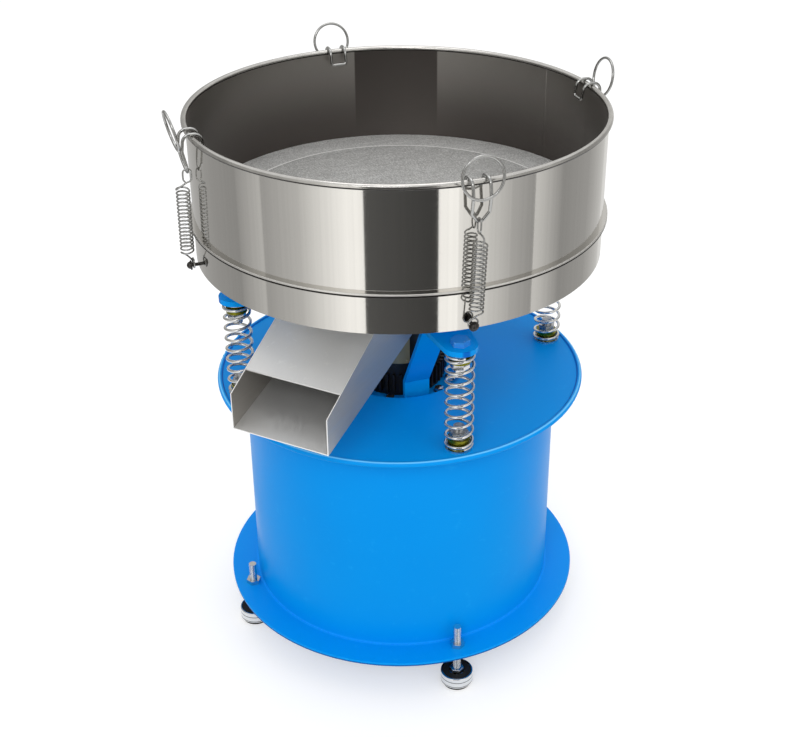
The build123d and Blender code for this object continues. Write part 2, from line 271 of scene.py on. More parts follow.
def makeWeaveGroup():
    # plain weave of round wires: its height, and a mask that is 0 in the open squares
    group, entry, exit = startGroup(
        "WireWeave",
        [("Vector", "NodeSocketVector", None), ("Pitch", "NodeSocketFloat", 0.0016)],
        [("Height", "NodeSocketFloat"), ("Wire", "NodeSocketFloat")])
    split = splitPlace(group, entry.outputs["Vector"])
    waves = []
    halves = []
    for axis in ("X", "Y"):
        turn = mathNode(group, "DIVIDE", split[axis], entry.outputs["Pitch"])
        angle = mathNode(group, "MULTIPLY", turn, 2 * math.pi)
        waves.append(mathNode(group, "MULTIPLY", mathNode(group, "ADD", mathNode(group, "COSINE", angle), 1.0), 0.5))
        halves.append(mathNode(group, "COSINE", mathNode(group, "MULTIPLY", angle, 0.5)))
    over = mathNode(group, "MULTIPLY", halves[0], halves[1])
    wire = mathNode(group, "MAXIMUM", waves[0], waves[1])
    lifted = mathNode(group, "ADD", wire, mathNode(group, "MULTIPLY", over, wireWeave["crossing"]))
    group.links.new(lifted, exit.inputs["Height"])
    group.links.new(rangeNode(group, wire, *wireWeave["wireSpan"]), exit.inputs["Wire"])
    return group


def makeThreadGroup():
    # screw thread as ridges up the shank
    group, entry, exit = startGroup(
        "Thread", [("Vector", "NodeSocketVector", None), ("Pitch", "NodeSocketFloat", 0.00175)],
        [("Ridge", "NodeSocketFloat")])
    split = splitPlace(group, entry.outputs["Vector"])
    turn = mathNode(group, "DIVIDE", split["Z"], entry.outputs["Pitch"])
    ridge = mathNode(group, "COSINE", mathNode(group, "MULTIPLY", turn, 2 * math.pi))
    group.links.new(mathNode(group, "ADD", mathNode(group, "MULTIPLY", ridge, 0.5), 0.5), exit.inputs["Ridge"])
    return group


grainGroup = makeGrainGroup()
scuffGroup = makeScuffGroup()
radiusGroup = makeRadiusGroup()
weaveGroup = makeWeaveGroup()
threadGroup = makeThreadGroup()
print("node groups built")


# helpers for materials
noiseSpan = (0.3, 0.7)    # where most of a noise's values lie
brushSpan = (0.3, 0.75)
evenGrain = (1.0, 1.0, 1.0)


def linear(code):
    parts = [int(code[i:i + 2], 16) / 255 for i in (1, 3, 5)]
    return [c / 12.92 if c <= 0.04045 else ((c + 0.055) / 1.055) ** 2.4 for c in parts] + [1.0]


def startMaterial(name, metallic, **fixed):
    material = bpy.data.materials.new(name)
    material.use_nodes = True
    tree = material.node_tree
    shader = tree.nodes["Principled BSDF"]
    shader.inputs["Metallic"].default_value = metallic
    for label, value in fixed.items():
        shader.inputs[label.replace("_", " ")].default_value = value
    place = tree.nodes.new("ShaderNodeTexCoord").outputs["Object"]
    return material, tree, shader, place


def placeGroup(tree, group, vector, **values):
    node = tree.nodes.new("ShaderNodeGroup")
    node.node_tree = group
    tree.links.new(vector, node.inputs["Vector"])
    for label, value in values.items():
        node.inputs[label].default_value = value
    return node


def mixColors(tree, factor, first, second):
    node = tree.nodes.new("ShaderNodeMix")
    node.data_type = "RGBA"
    tree.links.new(factor, node.inputs["Factor"])
    for socket, value in ((node.inputs[6], first), (node.inputs[7], second)):
        if isinstance(value, list):
            socket.default_value = value
        else:
            tree.links.new(value, socket)
    return node.outputs[2]


def addBump(tree, shader, height, strength, distance):
    bump = tree.nodes.new("ShaderNodeBump")
    bump.inputs["Strength"].default_value = strength
    bump.inputs["Distance"].default_value = distance
    tree.links.new(height, bump.inputs["Height"])
    tree.links.new(bump.outputs["Normal"], shader.inputs["Normal"])


def wornCoat(tree, place, s, along=None):
    # two close shades in soft clouds, with sparse marks on them
    grain = placeGroup(tree, grainGroup, along if along else place, Across=s["across"], Scale=s["grain"])
    scuffs = placeGroup(tree, scuffGroup, place, Scale=s["scuff"], Amount=s["scuffAmount"])
    base = mixColors(tree, grain.outputs["Cloud"], linear(s["shade"]), linear(s["color"]))
    return grain.outputs, mixColors(tree, scuffs.outputs["Mask"], base, linear(s["worn"]))


def setFinish(tree, shader, color, value, roughness, span=noiseSpan):
    tree.links.new(color, shader.inputs["Base Color"])
    tree.links.new(rangeNode(tree, value, *span, *roughness), shader.inputs["Roughness"])


# sprayed paint of the stand and the cradle
bluePaint = dict(color="#0099ee", shade="#008fe6", worn="#1ca6f2", specular=0.06, across=evenGrain, grain=420.0,
                 scuff=55.0, scuffAmount=0.35, roughness=(0.3, 0.42), bump=(0.12, 0.0006),
                 # edge is a painted highlight on the disc's turned edge, groove a painted shade line in the fold
                 # inside it
                 edge="#6cc8ff", edgeHighlightRing=(0.2826, 0.2848), grooveShade="#0064c4", grooveShadeRing=(0.2784, 0.2802),
                 ringSoft=0.0005, discTop=(0.4335, 0.4339),
                 seam="#18a2f6", seamRadius=(0.2415, 0.2465, 0.001), seamHeight=(0.0725, 0.0760, 0.0015),
                 # rim is painted shade under the base flange's edge
                 rim="#0a5aa6", rimRadius=(0.2860, 0.2865), rimHeight=(0.0698, 0.0704))


def makeBluePaint():
    s = bluePaint
    material, tree, shader, place = startMaterial("AzurePaint", 0.0, Specular_IOR_Level=s["specular"])
    grain, paint = wornCoat(tree, place, s)
    around = placeGroup(tree, radiusGroup, place).outputs
    # painted highlight: a lighter blue ring on the disc's turned edge, and painted shade: a dark line in the fold
    # inside it
    above = rangeNode(tree, around["Height"], *s["discTop"])
    for color, ring in (("edge", "edgeHighlightRing"), ("grooveShade", "grooveShadeRing")):
        band = bandMask(tree, around["Radius"], *s[ring], s["ringSoft"])
        paint = mixColors(tree, mathNode(tree, "MULTIPLY", band, above), paint, linear(s[color]))
    # a lighter blue band round the drum's foot, and painted shade: darker blue under the base flange's edge
    seam = mathNode(tree, "MULTIPLY", bandMask(tree, around["Radius"], *s["seamRadius"]),
                    bandMask(tree, around["Height"], *s["seamHeight"]))
    paint = mixColors(tree, seam, paint, linear(s["seam"]))
    rim = mathNode(tree, "MULTIPLY", rangeNode(tree, around["Radius"], *s["rimRadius"]),
                   rangeNode(tree, around["Height"], *s["rimHeight"], 1.0, 0.0))
    paint = mixColors(tree, rim, paint, linear(s["rim"]))
    setFinish(tree, shader, paint, grain["Cloud"], s["roughness"])
    addBump(tree, shader, grain["Grain"], *s["bump"])   # orange peel of sprayed paint
    return material


# rolled sheet of the bowl, polished outside and dull inside
polished = dict(color="#dedcd8", shade="#d2d0cc", across=(0.6, 0.6, 90.0), grain=14.0, roughness=(0.05, 0.08),
                # the inside's paler top is painted light and its darker band a painted reflection
                wall=(0.30045, 0.30105), inner="#5a5552", innerLitTop="#a8a49f", innerRough=0.3,
                innerHeight=(0.700, 0.868), innerPower=1.6, darkReflectionBand=(58.3, 84.3, 0.25),
                # crease is painted shade on the lower flange's edge under the joint
                jointShade="#2c2a28", jointShadeHeight=(0.7060, 0.7096, 0.0002), jointShadeRadius=(0.3019, 0.3023),
                turnedHeight=(0.7125, 0.7130), turnedRadius=(0.3058, 0.3062), turnedRough=0.3,
                seamDegrees=(19.84, 20.16, 0.05), seamRough=0.25, lineDepth=0.012, bump=(1.0, 0.0003))


def makePolishedSteel():
    s = polished
    material, tree, shader, place = startMaterial("PolishedStainless", 1.0)
    grain = placeGroup(tree, grainGroup, place, Across=s["across"], Scale=s["grain"]).outputs
    around = placeGroup(tree, radiusGroup, place).outputs
    radius, height, degrees = (around[label] for label in ("Radius", "Height", "Degrees"))
    outside = mixColors(tree, grain["Cloud"], linear(s["shade"]), linear(s["color"]))
    # painted light: the inside is paler towards the rim, and one band of it is darker as a painted reflection
    litUpward = mathNode(tree, "POWER", rangeNode(tree, height, *s["innerHeight"]), s["innerPower"])
    outsideDarkReflection = mathNode(tree, "SUBTRACT", 1.0, bandMask(tree, degrees, *s["darkReflectionBand"]))
    litUpward = mathNode(tree, "MULTIPLY", litUpward, outsideDarkReflection)
    inside = mixColors(tree, litUpward, linear(s["inner"]), linear(s["innerLitTop"]))
    wall = rangeNode(tree, radius, *s["wall"])
    steel = mixColors(tree, wall, inside, outside)
    # painted shade: the lower flange's edge is darker where the joint shades it
    jointShade = mathNode(tree, "MULTIPLY", bandMask(tree, height, *s["jointShadeHeight"]),
                      rangeNode(tree, radius, *s["jointShadeRadius"]))
    tree.links.new(mixColors(tree, jointShade, steel, linear(s["jointShade"])), shader.inputs["Base Color"])
    brushed = rangeNode(tree, grain["Grain"], *brushSpan, *s["roughness"])
    dull = rangeNode(tree, wall, 0.0, 1.0, s["innerRough"], 0.0)
    turnedEdge = mathNode(tree, "MULTIPLY", rangeNode(tree, height, *s["turnedHeight"], s["turnedRough"], 0.0),
                          rangeNode(tree, radius, *s["turnedRadius"]))
    seam = bandMask(tree, degrees, *s["seamDegrees"])
    rough = mathNode(tree, "ADD", mathNode(tree, "ADD", brushed, dull), turnedEdge)
    rough = mathNode(tree, "ADD", rough, mathNode(tree, "MULTIPLY", seam, s["seamRough"]))
    tree.links.new(rough, shader.inputs["Roughness"])
    lines = mathNode(tree, "MULTIPLY", mathNode(tree, "MULTIPLY", grain["Grain"], wall), s["lineDepth"])
    addBump(tree, shader, mathNode(tree, "ADD", lines, seam), *s["bump"])
    return material


rolledBead = dict(color="#cfcdc9", shade="#b0aeaa", grain=60.0, roughness=(0.16, 0.24), bump=(0.05, 0.0003),
                  # under is painted shade on the bead's underside
                  under="#24221f", underShadeHeight=(0.8562, 0.8574))


def makeBeadSteel():
    s = rolledBead
    material, tree, shader, place = startMaterial("RolledBead", 1.0)
    grain = placeGroup(tree, grainGroup, place, Across=evenGrain, Scale=s["grain"]).outputs
    height = placeGroup(tree, radiusGroup, place).outputs["Height"]
    rod = mixColors(tree, grain["Grain"], linear(s["shade"]), linear(s["color"]))
    # painted shade: darker on the bead's underside
    under = rangeNode(tree, height, *s["underShadeHeight"], 1.0, 0.0)
    setFinish(tree, shader, mixColors(tree, under, rod, linear(s["under"])), grain["Cloud"], s["roughness"])
    addBump(tree, shader, grain["Grain"], *s["bump"])
    return material


# rolled sheet of the chute and the pan
satin = dict(color="#e2e2e1", shade="#d4d4d3", worn="#ececea", metallic=0.8, across=(1.0, 45.0, 45.0), grain=7.0,
             scuff=60.0, scuffAmount=0.5, roughness=(0.34, 0.46), bump=(0.06, 0.0003), chuteAngle=223,
             # side is painted shade on the chute's side sheets, edgeHighlight a painted highlight along every cut
             # edge
             side="#b2aea8", sideFrom=(0.0747, 0.0749), outFrom=(0.0, 0.02), underPan=(0.6496, 0.6500),
             edgeHighlight="#f4f4f2", edgeHighlightBand=(0.0752, 0.0763, 0.0001), mouth=(0.3492, 0.3494))


def makeSatinSteel():
    s = satin
    material, tree, shader, place = startMaterial("SatinStainless", s["metallic"])
    turned = tree.nodes.new("ShaderNodeMapping")   # rolled lines run along the chute
    turned.inputs["Rotation"].default_value = (0, 0, -math.radians(s["chuteAngle"]))
    tree.links.new(place, turned.inputs["Vector"])
    along = turned.outputs["Vector"]
    grain, marked = wornCoat(tree, place, s, along)
    # painted shade: the chute's side sheets are darker than its cover; painted highlight: every cut edge is bright
    split = splitPlace(tree, along)
    across = mathNode(tree, "ABSOLUTE", split["Y"])
    side = rangeNode(tree, across, *s["sideFrom"])
    beyond = rangeNode(tree, split["X"], *s["outFrom"])   # none of it on the round pan
    low = rangeNode(tree, split["Z"], *s["underPan"], 1.0, 0.0)
    side = mathNode(tree, "MULTIPLY", mathNode(tree, "MULTIPLY", side, beyond), low)
    sheet = mixColors(tree, side, marked, linear(s["side"]))
    edge = mathNode(tree, "MULTIPLY", bandMask(tree, across, *s["edgeHighlightBand"]), low)
    edge = mathNode(tree, "MAXIMUM", edge, rangeNode(tree, split["X"], *s["mouth"]))
    sheet = mixColors(tree, edge, sheet, linear(s["edgeHighlight"]))
    setFinish(tree, shader, sheet, grain["Grain"], s["roughness"], brushSpan)
    addBump(tree, shader, grain["Grain"], *s["bump"])
    return material


# woven screen with a lighter line at the ring's inner edge, and what lies behind it
wovenMesh = dict(wire="#ececea", wireLow="#aeaeac", gap="#747472", ring="#d8d8d6", under="#5c5c5a", line="#f8f8f6",
                 metallic=0.4, pitch=0.0022, ringFrom=(0.2485, 0.2505), support=(0.160, 0.170, 0.001),
                 innerRingLine=(0.2462, 0.2492, 0.0005), sparkle=520.0, sparkleSpan=(0.37, 0.63),
                 drawn=14.0, drawnAcross=(1.0, 6.0, 1.0), drawnSpan=(0.35, 0.7), drawnShade=0.16,
                 roughness=(0.38, 0.52), bump=(0.5, 0.0004))


def makeMesh():
    s = wovenMesh
    material, tree, shader, place = startMaterial("WovenMesh", s["metallic"])
    weave = placeGroup(tree, weaveGroup, place, Pitch=s["pitch"]).outputs
    radius = placeGroup(tree, radiusGroup, place).outputs["Radius"]
    behind = mixColors(tree, rangeNode(tree, radius, *s["ringFrom"]), linear(s["gap"]), linear(s["ring"]))
    behind = mixColors(tree, bandMask(tree, radius, *s["support"]), behind, linear(s["under"]))
    cloud = placeGroup(tree, grainGroup, place, Across=evenGrain, Scale=s["sparkle"]).outputs["Grain"]
    sparkle = rangeNode(tree, cloud, *s["sparkleSpan"])
    wireColor = mixColors(tree, sparkle, linear(s["wireLow"]), linear(s["wire"]))
    cloth = mixColors(tree, weave["Wire"], behind, wireColor)
    drawn = placeGroup(tree, grainGroup, place, Across=s["drawnAcross"], Scale=s["drawn"])   # drawn tight one way
    shadow = rangeNode(tree, drawn.outputs["Grain"], *s["drawnSpan"], s["drawnShade"], 0.0)
    cloth = mixColors(tree, shadow, cloth, linear(s["gap"]))
    cloth = mixColors(tree, bandMask(tree, radius, *s["innerRingLine"]), cloth, linear(s["line"]))
    setFinish(tree, shader, cloth, cloud, s["roughness"])
    addBump(tree, shader, weave["Height"], *s["bump"])
    return material


# paint of the motor and rubber of the feet
blackPaint = dict(color="#161616", shade="#0b0b0c", worn="#3c3a37", ior=1.5, across=evenGrain, grain=700.0,
                  scuff=90.0, scuffAmount=0.4, roughness=(0.36, 0.52), bump=(0.2, 0.0005))
rubber = dict(color="#121212", shade="#121212", worn="#2b2a29", ior=1.5, across=evenGrain, grain=500.0,
              scuff=110.0, scuffAmount=0.6, roughness=(0.6, 0.8), bump=(0.3, 0.0004))


def makeBlackCoat(name, s):
    material, tree, shader, place = startMaterial(name, 0.0, IOR=s["ior"])
    grain, coat = wornCoat(tree, place, s)
    setFinish(tree, shader, coat, grain["Grain"], s["roughness"])
    addBump(tree, shader, grain["Grain"], *s["bump"])
    return material


# zinc, nickel and drawn wire share one build
plating = dict(across=(1.0, 1.0, 4.0), grain=160.0, scuff=120.0, scuffAmount=0.5, bump=(0.08, 0.0003),
               threadBump=(0.5, 0.0008), threadRise=0.001)


def makePlating(name, color, shade, roughness, threadPitch=0.0, threadAbove=0.0, metallic=1.0):
    s = dict(plating, color=color, shade=shade, worn=shade)
    material, tree, shader, place = startMaterial(name, metallic)
    grain, plated = wornCoat(tree, place, s)
    setFinish(tree, shader, plated, grain["Grain"], roughness)
    if threadPitch:
        thread = placeGroup(tree, threadGroup, place, Pitch=threadPitch).outputs["Ridge"]
        height = placeGroup(tree, radiusGroup, place).outputs["Height"]
        shank = rangeNode(tree, height, threadAbove, threadAbove + s["threadRise"])
        addBump(tree, shader, mathNode(tree, "MULTIPLY", thread, shank), *s["threadBump"])
    else:
        addBump(tree, shader, grain["Grain"], *s["bump"])
    return material


footPlating = dict(color="#eeefef", shade="#cdd0d2", across=(1.0, 1.0, 12.0), grain=160.0, roughness=(0.07, 0.16),
                   line="#5d5f61", topLine=(0.0158, 0.0171, 0.0003), lowLine=(0.0072, 0.0085, 0.0003),
                   studFrom=(0.024, 0.025), pitch=0.00175, turnedDepth=0.1, bump=(0.5, 0.0008))


def makeFootPlating():
    # plated cup with two turned lines round it, and a threaded stud above
    s = footPlating
    material, tree, shader, place = startMaterial("FootPlating", 1.0)
    grain = placeGroup(tree, grainGroup, place, Across=s["across"], Scale=s["grain"]).outputs["Grain"]
    height = placeGroup(tree, radiusGroup, place).outputs["Height"]
    plated = mixColors(tree, grain, linear(s["shade"]), linear(s["color"]))
    lines = mathNode(tree, "MAXIMUM", bandMask(tree, height, *s["topLine"]), bandMask(tree, height, *s["lowLine"]))
    setFinish(tree, shader, mixColors(tree, lines, plated, linear(s["line"])), grain, s["roughness"])
    thread = placeGroup(tree, threadGroup, place, Pitch=s["pitch"]).outputs["Ridge"]
    thread = mathNode(tree, "MULTIPLY", thread, rangeNode(tree, height, *s["studFrom"]))
    turned = mathNode(tree, "MULTIPLY", grain, s["turnedDepth"])
    addBump(tree, shader, mathNode(tree, "ADD", thread, turned), *s["bump"])
    return material


paintedBolt = dict(headFrom=(0.6029, 0.6035), color="#3f9be6", zinc="#d4d5d6", worn="#a9b4be", scuff=120.0,
                   scuffAmount=0.4, paintShare=0.7, scuffSpan=(0.0, 0.4), roughness=(0.2, 0.35))


def makePaintedBolt():
    # the heads on the cradle's arms are painted with it, the rest of the bolt stays bright
    s = paintedBolt
    material, tree, shader, place = startMaterial("PaintedBolt", 1.0)
    scuffs = placeGroup(tree, scuffGroup, place, Scale=s["scuff"], Amount=s["scuffAmount"]).outputs["Mask"]
    height = placeGroup(tree, radiusGroup, place).outputs["Height"]
    head = rangeNode(tree, height, *s["headFrom"])
    color = mixColors(tree, scuffs, mixColors(tree, head, linear(s["zinc"]), linear(s["color"])), linear(s["worn"]))
    painted = mathNode(tree, "MULTIPLY", head, s["paintShare"])
    tree.links.new(mathNode(tree, "SUBTRACT", 1.0, painted), shader.inputs["Metallic"])
    setFinish(tree, shader, color, scuffs, s["roughness"], s["scuffSpan"])
    return material


seatRing = dict(olive="#8f8a2c", shade="#5f6420", washer="#d4d5d6", boss=(0.4393, 0.5915, 0.0002),
                roughness=(0.2, 0.34))


def makeSeatPlating():
    # passivated bosses between bright washers
    s = seatRing
    material, tree, shader, place = startMaterial("YellowZinc", 1.0)
    grain = placeGroup(tree, grainGroup, place, Across=plating["across"], Scale=plating["grain"]).outputs
    height = placeGroup(tree, radiusGroup, place).outputs["Height"]
    boss = mixColors(tree, grain["Cloud"], linear(s["shade"]), linear(s["olive"]))
    color = mixColors(tree, bandMask(tree, height, *s["boss"]), linear(s["washer"]), boss)
    setFinish(tree, shader, color, grain["Grain"], s["roughness"])
    addBump(tree, shader, grain["Grain"], *plating["bump"])
    return material


materials = {
    "blue_paint": makeBluePaint(),
    "polished_stainless": makePolishedSteel(),
    "satin_stainless": makeSatinSteel(),
    "woven_mesh": makeMesh(),
    "black_paint": makeBlackCoat("BlackPaint", blackPaint),
    "bright_zinc": makePlating("BrightZinc", "#e6e7e8", "#c6c8ca", (0.1, 0.2)),
    "yellow_zinc": makeSeatPlating(),
    "spring_steel": makePlating("SpringSteel", "#ececea", "#cacac8", (0.08, 0.16)),
    "toggle_wire": makePlating("ToggleWire", "#c2c2c0", "#858583", (0.1, 0.2)),
    "dark_steel": makePlating("DarkSteel", "#5a5856", "#33312f", (0.3, 0.45)),
    "black_rubber": makeBlackCoat("BlackRubber", rubber),
}
plateMetal = makePlating("BarePlate", "#a79c78", "#8b8265", (0.35, 0.5), metallic=0.35)
footZinc = makeFootPlating()
ownMaterials = {
    "upper_seat_bolts": makePaintedBolt(),
    "lower_seat_studs": makePlating("ThreadedZinc", "#d4d5d6", "#a9abad", (0.2, 0.34), threadPitch=0.002,
                                    threadAbove=0.436),
}
for number in range(1, 5):
    ownMaterials[f"levelling_foot_{number}"] = footZinc

for part in frame["record"]["subparts"]:
    node = nodes[part["node"]]
    node.data.materials.clear()
    node.data.materials.append(ownMaterials.get(part["node"], materials[part["material_slot"]]))
print("materials placed")


# rolled bead round the rim, drawn finer than the CAD model's
rimBead = dict(circle=0.303, rod=0.0042, height=0.8575, around=360, across=32)


def buildRimBead():
    s = rimBead
    deselectAll()
    bpy.ops.mesh.primitive_torus_add(major_radius=s["circle"], minor_radius=s["rod"], major_segments=s["around"],
                                     minor_segments=s["across"], location=(0, 0, s["height"]))
    bead = bpy.context.object
    bead.name = "rimBead"
    finishMesh(bead, meshFinish["roundSmoothAngle"])
    bead.data.materials.append(makeBeadSteel())
    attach(bead, "screen_body")


buildRimBead()
print("rim bead drawn")


# springs under the cradle's arms, with a closed turn at each end
supportSpring = dict(circle=0.254, radius=0.01925, wire=0.0045, wireSides=3, bottom=0.44125, top=0.58975,
                     turns=10, closedTurns=1.0, closedPitch=1.04, stepsPerTurn=30, fixedEnd=0.439, freeEnd=0.592)


def buildSupportSprings():
    s = supportSpring
    closedRise = s["wire"] * s["closedPitch"]
    openTurns = s["turns"] - 2 * s["closedTurns"]
    openRise = s["top"] - s["bottom"] - 2 * closedRise

    def heightAt(turn):
        lower = min(turn, s["closedTurns"]) * closedRise
        middle = min(max(turn - s["closedTurns"], 0), openTurns) * openRise / openTurns
        upper = max(turn - s["closedTurns"] - openTurns, 0) * closedRise
        return s["bottom"] + lower + middle + upper

    first = wireAlong("supportWire1", coilPoints(s, heightAt), s["wire"], s["wireSides"])
    first.data.materials.append(materials["spring_steel"])
    for number, degrees in enumerate(armAngles, start=1):
        wire = first if number == 1 else copyTurned(first, f"supportWire{number}", degrees)
        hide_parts(f"support_spring_{number}")
        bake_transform(wire)


buildSupportSprings()
print("support springs wound")


# tension springs of the toggles, each one wire from eye to eye
toggleSpring = dict(circle=0.3185, radius=0.0090, wire=0.0025, coilBottom=0.68395, coilTop=0.7823, turns=17,
                    stepsPerTurn=18, loopX=0.311, loopSweep=330, loopSteps=24,
                    lowerLoop=0.007, lowerZ=0.6642, lowerFrom=60, lowerBend=(-0.002, -0.004, 0.001),
                    upperHalfWidth=0.006, upperHalfHeight=0.010, upperZ=0.80155, upperFrom=180, upperCorner=3,
                    upperBend=(0.004, 0.006, 0.002), bendSteps=8,
                    pinZ=0.661, toggleAngles=(0, 90, 180, 269), tilts=(0, 0, 5.16, 2.48))


def bentBetween(start, end, bend):
    # short curve from one end to the other, drawn aside at its middle
    s = toggleSpring
    middle = Vector((s["circle"] + bend[0], bend[1], (start.z + end.z) / 2 + bend[2]))
    return [tuple(start * (1 - t) ** 2 + middle * 2 * t * (1 - t) + end * t ** 2)
            for t in [i / s["bendSteps"] for i in range(1, s["bendSteps"])]]


def buildToggleSprings():
    s = toggleSpring
    sweep = [s["loopSweep"] * i / s["loopSteps"] for i in range(s["loopSteps"] + 1)]
    lower = []   # loop round the pin, from its closed end round to the tail
    for turned in sweep:
        angle = math.radians(s["lowerFrom"] - turned)
        lower.append((s["loopX"], s["lowerLoop"] * math.sin(-angle), s["lowerZ"] + s["lowerLoop"] * math.cos(angle)))
    pitch = (s["coilTop"] - s["coilBottom"]) / s["turns"]
    coil = coilPoints(s, lambda turn: s["coilBottom"] + pitch * turn)
    upper = []   # long eye round the hook's lower end
    straight = s["upperHalfHeight"] - s["upperHalfWidth"]
    for turned in sweep:
        angle = math.radians(s["upperFrom"] + turned)
        lift = straight * math.copysign(min(abs(math.cos(angle)) * s["upperCorner"], 1), math.cos(angle))
        upper.append((s["loopX"] + s["upperHalfWidth"] * math.sin(angle), 0,
                      s["upperZ"] + lift + s["upperHalfWidth"] * math.cos(angle)))
    loopStart = Vector((s["loopX"], 0, s["upperZ"] - s["upperHalfHeight"]))
    tail = bentBetween(Vector(lower[-1]), Vector(coil[0]), s["lowerBend"])
    neck = bentBetween(Vector(coil[-1]), loopStart, s["upperBend"])
    model = wireAlong("toggleWire", lower + tail + coil + neck + upper, s["wire"])
    model.data.materials.append(materials["toggle_wire"])
    pin = Matrix.Translation((s["loopX"], 0, s["pinZ"]))
    for number, (degrees, tilt) in enumerate(zip(s["toggleAngles"], s["tilts"]), start=1):
        wire = copyTurned(model, f"toggleWire{number}", 0)
        # leans about its pin and still reaches its hook
        lean = (Matrix.Rotation(-math.radians(tilt), 4, "X")
                @ Matrix.Scale(1 / math.cos(math.radians(tilt)), 4, (0, 0, 1)))
        wire.data.transform(Matrix.Rotation(math.radians(degrees), 4, "Z") @ pin @ lean @ pin.inverted())
        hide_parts(f"toggle_spring_{number}")
        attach(wire, "screen_body")
    bpy.data.objects.remove(model)


buildToggleSprings()
print("toggle springs wound")


# bare rating plate on the motor's housing, held by four rivets
ratingPlate = dict(radius=0.0642, low=0.474, high=0.520, fromDegrees=-152, toDegrees=-95.4, thick=0.0008,
                   corner=0.004, cornerSteps=4, cuts=24, rivet=0.0016, rivetFlat=0.6, rivetInset=0.0045)


def buildRatingPlate():
    s = ratingPlate
    width = math.radians(s["toDegrees"] - s["fromDegrees"]) * s["radius"]
    height = s["high"] - s["low"]
    middle = math.radians((s["toDegrees"] + s["fromDegrees"]) / 2)
    deselectAll()
    bpy.ops.mesh.primitive_plane_add(size=1, location=(0, 0, 0))
    plate = bpy.context.object
    plate.name = "ratingPlate"
    plate.scale = (width, height, 1)
    bpy.ops.object.transform_apply(scale=True)
    bpy.ops.object.mode_set(mode="EDIT")
    bpy.ops.mesh.select_all(action="SELECT")
    bpy.ops.mesh.bevel(offset=s["corner"], segments=s["cornerSteps"], affect="VERTICES")
    bpy.ops.object.mode_set(mode="OBJECT")
    solid = plate.modifiers.new("sheet", "SOLIDIFY")
    solid.thickness = s["thick"]
    solid.offset = 1
    bpy.ops.object.modifier_apply(modifier="sheet")
    bpy.ops.object.mode_set(mode="EDIT")
    for step in range(1, s["cuts"]):   # cut across so that it can follow the housing
        bpy.ops.mesh.select_all(action="SELECT")
        bpy.ops.mesh.bisect(plane_co=(width * (step / s["cuts"] - 0.5), 0, 0), plane_no=(1, 0, 0))
    bpy.ops.object.mode_set(mode="OBJECT")
    rivets = []
    for sideX in (-1, 1):
        for sideY in (-1, 1):
            place = (sideX * (width / 2 - s["rivetInset"]), sideY * (height / 2 - s["rivetInset"]), s["thick"])
            deselectAll()
            bpy.ops.mesh.primitive_uv_sphere_add(segments=16, ring_count=8, radius=s["rivet"],
                                                 scale=(1, 1, s["rivetFlat"]), location=place)
            rivets.append(bpy.context.object)
            bpy.ops.object.transform_apply(location=True, scale=True)
    plate = joinPieces([plate] + rivets, "ratingPlate")
    for vertex in plate.data.vertices:   # wrapped round the housing
        angle = middle + vertex.co.x / s["radius"]
        reach = s["radius"] + vertex.co.z
        vertex.co = (reach * math.cos(angle), reach * math.sin(angle), (s["low"] + s["high"]) / 2 + vertex.co.y)
    finishMesh(plate)
    plate.data.materials.append(plateMetal)
    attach(plate, "screen_body")


buildRatingPlate()


# bolts through the motor's flange and the cradle plate
motorBolt = dict(circle=0.080, angles=(30, 60), flats=0.013, head=0.0055, chamfer=0.0007, plateTop=0.418,
                 flangeBase=0.398, shank=0.004, tail=0.006, tailEdge=0.0006, washer=0.0085, washerThick=0.0014,
                 washerEdge=0.0002)


def buildMotorBolts():
    s = motorBolt
    nutTop = s["flangeBase"] - s["washerThick"]
    pieces = []
    for name, middle in (("head", s["plateTop"] + s["washerThick"] + s["head"] / 2), ("nut", nutTop - s["head"] / 2)):
        pieces.append(hexNut(name, s["flats"], s["head"], (s["circle"], 0, middle), s["chamfer"]))
    for low in (s["plateTop"], nutTop):
        pieces.append(roundBar(32, s["washer"], s["washerThick"], (s["circle"], 0, low + s["washerThick"] / 2),
                               s["washerEdge"], 1))
    length = s["head"] + s["tail"]
    pieces.append(roundBar(24, s["shank"], length, (s["circle"], 0, nutTop - length / 2), s["tailEdge"], 2))
    first = joinPieces(pieces, "motorBolt")
    finishMesh(first)
    spots = [arm + angle for arm in armAngles for angle in s["angles"]]
    copies = [copyTurned(first, "motorBolt", spot) for spot in spots[1:]]
    first.data.transform(Matrix.Rotation(math.radians(spots[0]), 4, "Z"))
    bolts = joinPieces([first] + copies, "motorBolts")
    bolts.data.materials.append(materials["bright_zinc"])
    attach(bolts, "screen_body")


buildMotorBolts()


# rubber in the feet's recess, round the stud
footRubber = dict(circle=0.260, radius=0.0227, hole=0.0118, low=0.0212, high=0.0232, edge=0.0006, edgeSteps=3)


def buildFootRubbers():
    s = footRubber
    deselectAll()
    bpy.ops.mesh.primitive_circle_add(vertices=64, radius=s["radius"], fill_type="NGON",
                                      location=(s["circle"], 0, s["low"]))
    model = bpy.context.object
    model.name = "footRubber1"
    bpy.ops.object.mode_set(mode="EDIT")
    bpy.ops.mesh.select_all(action="SELECT")
    bpy.ops.mesh.inset(thickness=s["radius"] - s["hole"])
    bpy.ops.mesh.delete(type="FACE")
    bpy.ops.mesh.select_all(action="SELECT")
    bpy.ops.mesh.extrude_region_move(TRANSFORM_OT_translate={"value": (0, 0, s["high"] - s["low"])})
    bpy.ops.object.mode_set(mode="OBJECT")
    bevel = model.modifiers.new("edge", "BEVEL")
    bevel.width = s["edge"]
    bevel.segments = s["edgeSteps"]
    bpy.ops.object.modifier_apply(modifier="edge")
    finishMesh(model)
    model.data.materials.append(materials["black_rubber"])
    for number, degrees in enumerate(armAngles, start=1):
        copy = model if number == 1 else copyTurned(model, f"footRubber{number}", degrees)
        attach(copy, "stand")


